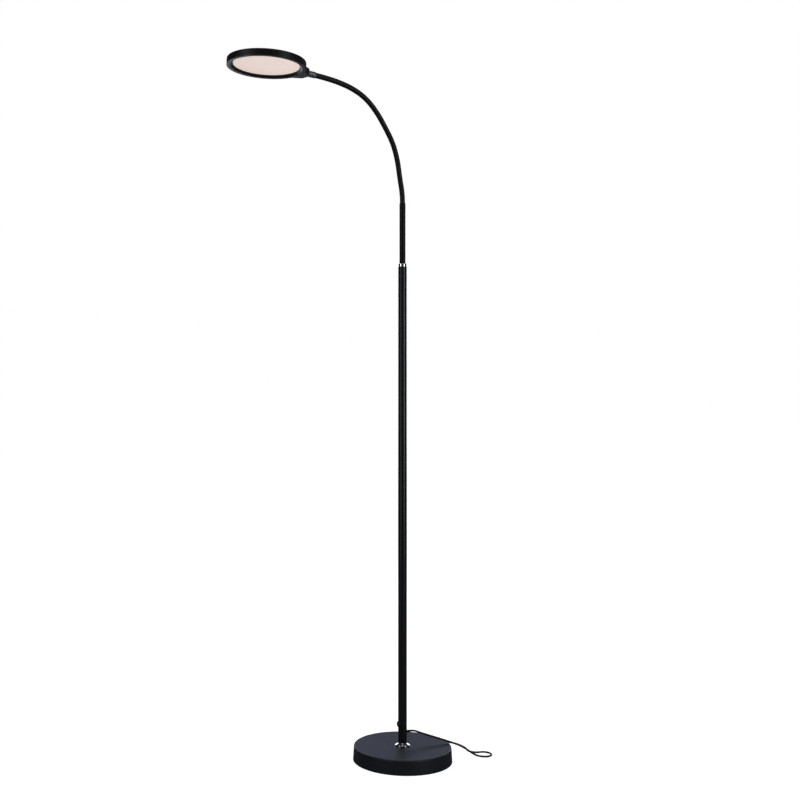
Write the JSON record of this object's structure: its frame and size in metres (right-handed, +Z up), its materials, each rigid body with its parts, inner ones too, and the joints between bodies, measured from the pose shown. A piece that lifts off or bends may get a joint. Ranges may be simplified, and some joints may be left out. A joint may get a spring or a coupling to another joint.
{
  "type": "gooseneck floor lamp",
  "caption": "Reading floor lamp with a weighted round base, sectioned pole, flexible gooseneck and flat round LED head; push switch and mains cord at the pole's foot.",
  "frame": {"origin": "centre of the base on the floor, under the pole's axis", "axes": "+Z up along the pole; the gooseneck bends in the XZ plane and the head lies towards -X; the cord leaves the pole towards +X"},
  "size_m": [0.6606, 0.2826, 1.5744],
  "materials": {
    "base_paint": "satin dark grey paint",
    "black_paint": "semi-gloss black paint",
    "neck_paint": "black coated gooseneck",
    "chrome": "bright chrome",
    "iron": "raw casting",
    "steel": "zinc plated",
    "ferrule_steel": "dark plated",
    "pad": "foam rubber sheet",
    "head_plastic": "fine black plastic",
    "diffuser_plastic": "frosted white",
    "guide_acrylic": "clear acrylic",
    "reflector_film": "white film",
    "led_board": "white board with yellow emitters",
    "pan_aluminium": "pressed sheet",
    "switch_plastic": "black",
    "driver_case": "white",
    "cord_sheath": "black flexible sheath",
    "lead_copper": "insulated lead",
    "pin_brass": "plated brass"
  },
  "bodies": {
    "base": {"floor_pad": "pad", "base_cover": "base_paint", "base_weight": "iron", "base_plate": "steel", "base_screws": "steel", "pole_washer": "steel", "pole_bolt": "steel", "base_collar": "chrome", "pole_foot_plug": "steel", "pole_lower": "black_paint", "pole_middle": "black_paint", "pole_upper": "black_paint", "coupler_lower": "steel", "coupler_upper": "steel", "top_ring": "chrome", "stem_bush": "head_plastic", "stem": "black_paint", "switch_body": "switch_plastic", "led_driver": "driver_case", "switch_wires": "lead_copper", "feed_cord": "cord_sheath", "pole_lead": "lead_copper", "neck_link_01": "neck_paint", "neck_lead_01": "lead_copper", "cord_grommet": "cord_sheath", "power_cord": "cord_sheath", "cord_coil": "cord_sheath", "cord_tail": "cord_sheath", "plug_body": "cord_sheath", "plug_pins": "pin_brass"},
    "neck_2": {"neck_link_02": "neck_paint", "neck_lead_02": "lead_copper"},
    "neck_3": {"neck_link_03": "neck_paint", "neck_lead_03": "lead_copper"},
    "neck_4": {"neck_link_04": "neck_paint", "neck_lead_04": "lead_copper"},
    "neck_5": {"neck_link_05": "neck_paint", "neck_lead_05": "lead_copper"},
    "neck_6": {"neck_link_06": "neck_paint", "neck_lead_06": "lead_copper"},
    "neck_7": {"neck_link_07": "neck_paint", "neck_lead_07": "lead_copper"},
    "neck_8": {"neck_link_08": "neck_paint", "neck_lead_08": "lead_copper"},
    "neck_9": {"neck_link_09": "neck_paint", "neck_lead_09": "lead_copper"},
    "head": {"neck_link_10": "neck_paint", "neck_lead_10": "lead_copper", "neck_ferrule": "ferrule_steel", "neck_nut": "steel", "head_housing": "head_plastic", "head_bezel": "head_plastic", "diffuser": "diffuser_plastic", "light_guide": "guide_acrylic", "reflector": "reflector_film", "led_strip": "led_board", "heat_pan": "pan_aluminium"},
    "switch_button": {"switch_button": "switch_plastic"}
  },
  "joints": [
    {"name": "neck_bend_1", "type": "hinge", "parent": "base", "child": "neck_2", "pos_m": [-0.00414, 0, 1.33546], "axis": [0, -1, 0], "range_deg": [-17, 15]},
    {"name": "neck_sway_2", "type": "hinge", "parent": "neck_2", "child": "neck_3", "pos_m": [-0.01146, 0, 1.37514], "axis": [-0.9874, 0, -0.1582], "range_deg": [-18, 18]},
    {"name": "neck_bend_3", "type": "hinge", "parent": "neck_3", "child": "neck_4", "pos_m": [-0.02144, 0, 1.41418], "axis": [0, -1, 0], "range_deg": [-17, 15]},
    {"name": "neck_sway_4", "type": "hinge", "parent": "neck_4", "child": "neck_5", "pos_m": [-0.03953, 0, 1.45013], "axis": [-0.831, 0, -0.5563], "range_deg": [-18, 18]},
    {"name": "neck_bend_5", "type": "hinge", "parent": "neck_5", "child": "neck_6", "pos_m": [-0.06296, 0, 1.48298], "axis": [0, -1, 0], "range_deg": [-17, 15]},
    {"name": "neck_sway_6", "type": "hinge", "parent": "neck_6", "child": "neck_7", "pos_m": [-0.09038, 0, 1.51249], "axis": [-0.6613, 0, -0.7501], "range_deg": [-18, 18]},
    {"name": "neck_bend_7", "type": "hinge", "parent": "neck_7", "child": "neck_8", "pos_m": [-0.12424, 0, 1.53414], "axis": [0, -1, 0], "range_deg": [-17, 15]},
    {"name": "neck_sway_8", "type": "hinge", "parent": "neck_8", "child": "neck_9", "pos_m": [-0.16254, 0, 1.54662], "axis": [-0.213, 0, -0.977], "range_deg": [-18, 18]},
    {"name": "neck_bend_9", "type": "hinge", "parent": "neck_9", "child": "head", "pos_m": [-0.20234, 0, 1.55314], "axis": [0, -1, 0], "range_deg": [-17, 15]},
    {"name": "switch_press", "type": "slide", "parent": "base", "child": "switch_button", "axis": [1, 0, 0], "range_m": [0, 0.0012], "stiffness_N_per_m": 1500}
  ]
}
